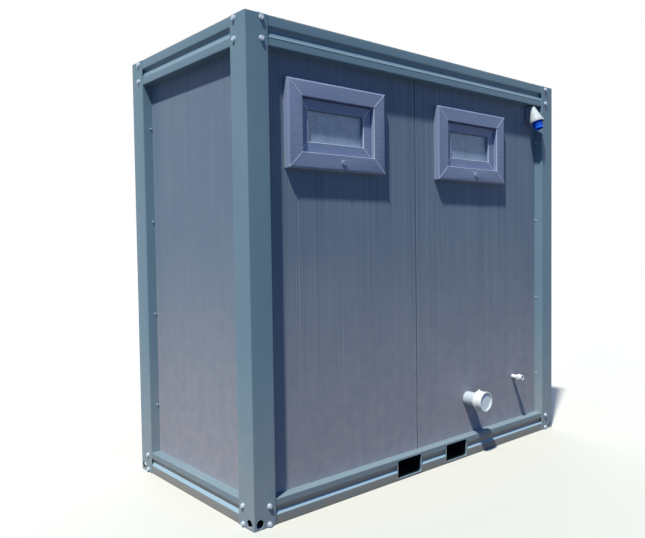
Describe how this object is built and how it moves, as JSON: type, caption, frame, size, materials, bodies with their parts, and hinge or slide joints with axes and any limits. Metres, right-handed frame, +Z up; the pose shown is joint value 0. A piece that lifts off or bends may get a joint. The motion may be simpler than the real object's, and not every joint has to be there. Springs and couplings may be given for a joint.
{
  "type": "sanitary container",
  "caption": "Flat-roofed steel-framed sanitary cabin with sandwich walls, tilt windows, a drain socket, water and power inlets and outward doors to two WCs.",
  "frame": {"origin": "on the ground under the middle of the frame, on the underside of the middle floor channel", "axes": "+Z up, X along the long side, the window and service side faces -Y, the doors face +Y"},
  "size_m": [2.702, 1.345, 2.5125],
  "materials": {
    "frame_paint": "satin",
    "panel_paint": "satin",
    "galvanised_steel": "satin",
    "zinc": "satin",
    "floor_covering": "matte",
    "white_panel": "satin",
    "window_profile": "satin",
    "frosted_glass": "satin",
    "handle_metal": "satin",
    "lock_steel": "satin",
    "door_frame_paint": "satin",
    "door_paint": "satin",
    "ceramic_white": "gloss",
    "seat_plastic": "gloss",
    "chromed": "polished",
    "pipe_plastic": "satin",
    "inlet_grey": "satin",
    "inlet_blue": "satin",
    "lamp_cover": "matte"
  },
  "bodies": {
    "container": {"back_wall_left": "panel_paint", "back_wall_right": "panel_paint", "basin_taps": "chromed", "cabin_lamps": "lamp_cover", "ceiling_panel": "white_panel", "corner_post_back_left": "frame_paint", "corner_post_back_right": "frame_paint", "corner_post_front_left": "frame_paint", "corner_post_front_right": "frame_paint", "cross_members": "galvanised_steel", "door_frame_left": "door_frame_paint", "door_frame_right": "door_frame_paint", "door_hinges": "lock_steel", "drain_pipe": "pipe_plastic", "end_wall_left": "panel_paint", "end_wall_right": "panel_paint", "floor_beams_long": "frame_paint", "floor_beams_short": "frame_paint", "floor_deck": "floor_covering", "fork_pockets": "frame_paint", "frame_bolts": "zinc", "front_wall_left": "panel_paint", "front_wall_right": "panel_paint", "hand_basins": "ceramic_white", "partition_wall": "white_panel", "power_inlet_collar": "inlet_blue", "power_inlet_hood": "inlet_grey", "roof_beams_long": "frame_paint", "roof_beams_short": "frame_paint", "roof_sheet": "galvanised_steel", "sheet_screws": "zinc", "toilet_pan_left": "ceramic_white", "toilet_pan_right": "ceramic_white", "water_pipe": "pipe_plastic", "window_frame_left": "window_profile", "window_frame_right": "window_profile"},
    "door_left": {"door_leaf_left": "door_paint"},
    "lever_left": {"door_lever_left": "handle_metal"},
    "latch_left": {"door_latch_left": "lock_steel"},
    "turn_left": {"door_turn_left": "handle_metal"},
    "bolt_left": {"door_bolt_left": "lock_steel"},
    "door_right": {"door_leaf_right": "door_paint"},
    "lever_right": {"door_lever_right": "handle_metal"},
    "latch_right": {"door_latch_right": "lock_steel"},
    "turn_right": {"door_turn_right": "handle_metal"},
    "bolt_right": {"door_bolt_right": "lock_steel"},
    "sash_left": {"window_sash_left": "window_profile", "window_pane_left": "frosted_glass"},
    "window_handle_left": {"window_handle_left": "handle_metal"},
    "sash_right": {"window_sash_right": "window_profile", "window_pane_right": "frosted_glass"},
    "window_handle_right": {"window_handle_right": "handle_metal"},
    "seat_left": {"toilet_seat_left": "seat_plastic"},
    "lid_left": {"toilet_lid_left": "seat_plastic"},
    "flush_left": {"flush_button_left": "chromed"},
    "seat_right": {"toilet_seat_right": "seat_plastic"},
    "lid_right": {"toilet_lid_right": "seat_plastic"},
    "flush_right": {"flush_button_right": "chromed"},
    "tap_left": {"tap_push_left": "chromed"},
    "tap_right": {"tap_push_right": "chromed"}
  },
  "joints": [
    {"name": "door_swing_left", "type": "hinge", "parent": "container", "child": "door_left", "pos_m": [-1.047, 0.574, 1], "axis": [0, 0, 1], "range_deg": [0, 100]},
    {"name": "lever_press_left", "type": "hinge", "parent": "door_left", "child": "lever_left", "pos_m": [-0.34, 0.542, 1.194], "axis": [0, -1, 0], "range_deg": [0, 45], "stiffness_Nm_per_rad": 1.5, "springref_deg": -20.05},
    {"name": "latch_slide_left", "type": "slide", "parent": "door_left", "child": "latch_left", "axis": [-1, 0, 0], "range_m": [0, 0.012]},
    {"name": "thumb_turn_left", "type": "hinge", "parent": "door_left", "child": "turn_left", "pos_m": [-0.34, 0.542, 1.112], "axis": [0, 1, 0], "range_deg": [0, 90]},
    {"name": "bolt_slide_left", "type": "slide", "parent": "door_left", "child": "bolt_left", "axis": [1, 0, 0], "range_m": [0, 0.014]},
    {"name": "door_swing_right", "type": "hinge", "parent": "container", "child": "door_right", "pos_m": [0.942, 0.574, 1], "axis": [0, 0, -1], "range_deg": [0, 100]},
    {"name": "lever_press_right", "type": "hinge", "parent": "door_right", "child": "lever_right", "pos_m": [0.235, 0.542, 1.194], "axis": [0, 1, 0], "range_deg": [0, 45], "stiffness_Nm_per_rad": 1.5, "springref_deg": -20.05},
    {"name": "latch_slide_right", "type": "slide", "parent": "door_right", "child": "latch_right", "axis": [1, 0, 0], "range_m": [0, 0.012]},
    {"name": "thumb_turn_right", "type": "hinge", "parent": "door_right", "child": "turn_right", "pos_m": [0.235, 0.542, 1.112], "axis": [0, -1, 0], "range_deg": [0, 90]},
    {"name": "bolt_slide_right", "type": "slide", "parent": "door_right", "child": "bolt_right", "axis": [-1, 0, 0], "range_m": [0, 0.014]},
    {"name": "sash_tilt_left", "type": "hinge", "parent": "container", "child": "sash_left", "pos_m": [-0.73, -0.5, 1.84], "axis": [-1, 0, 0], "range_deg": [0, 15]},
    {"name": "window_handle_turn_left", "type": "hinge", "parent": "sash_left", "child": "window_handle_left", "pos_m": [-0.73, -0.49, 2.126], "axis": [0, -1, 0], "range_deg": [0, 90]},
    {"name": "sash_tilt_right", "type": "hinge", "parent": "container", "child": "sash_right", "pos_m": [0.428, -0.5, 1.84], "axis": [-1, 0, 0], "range_deg": [0, 15]},
    {"name": "window_handle_turn_right", "type": "hinge", "parent": "sash_right", "child": "window_handle_right", "pos_m": [0.428, -0.49, 2.126], "axis": [0, -1, 0], "range_deg": [0, 90]},
    {"name": "seat_lift_left", "type": "hinge", "parent": "container", "child": "seat_left", "pos_m": [-0.73, -0.29, 0.565], "axis": [1, 0, 0], "range_deg": [0, 86]},
    {"name": "lid_close_left", "type": "hinge", "parent": "container", "child": "lid_left", "pos_m": [-0.73, -0.29, 0.565], "axis": [1, 0, 0], "range_deg": [-92, 0]},
    {"name": "flush_press_left", "type": "slide", "parent": "container", "child": "flush_left", "axis": [0, 0, -1], "range_m": [0, 0.006], "stiffness_N_per_m": 400, "springref_m": -0.004},
    {"name": "seat_lift_right", "type": "hinge", "parent": "container", "child": "seat_right", "pos_m": [0.4, -0.29, 0.565], "axis": [1, 0, 0], "range_deg": [0, 86]},
    {"name": "lid_close_right", "type": "hinge", "parent": "container", "child": "lid_right", "pos_m": [0.4, -0.29, 0.565], "axis": [1, 0, 0], "range_deg": [-92, 0]},
    {"name": "flush_press_right", "type": "slide", "parent": "container", "child": "flush_right", "axis": [0, 0, -1], "range_m": [0, 0.006], "stiffness_N_per_m": 400, "springref_m": -0.004},
    {"name": "tap_press_left", "type": "slide", "parent": "container", "child": "tap_left", "axis": [0, 0, -1], "range_m": [0, 0.008], "stiffness_N_per_m": 400, "springref_m": -0.004},
    {"name": "tap_press_right", "type": "slide", "parent": "container", "child": "tap_right", "axis": [0, 0, -1], "range_m": [0, 0.008], "stiffness_N_per_m": 400, "springref_m": -0.004}
  ],
  "couplings": [
    {"joint": "latch_slide_left", "follows": "lever_press_left", "m_per_rad": 0.01527},
    {"joint": "bolt_slide_left", "follows": "thumb_turn_left", "m_per_rad": 0.00891},
    {"joint": "latch_slide_right", "follows": "lever_press_right", "m_per_rad": 0.01527},
    {"joint": "bolt_slide_right", "follows": "thumb_turn_right", "m_per_rad": 0.00891}
  ]
}
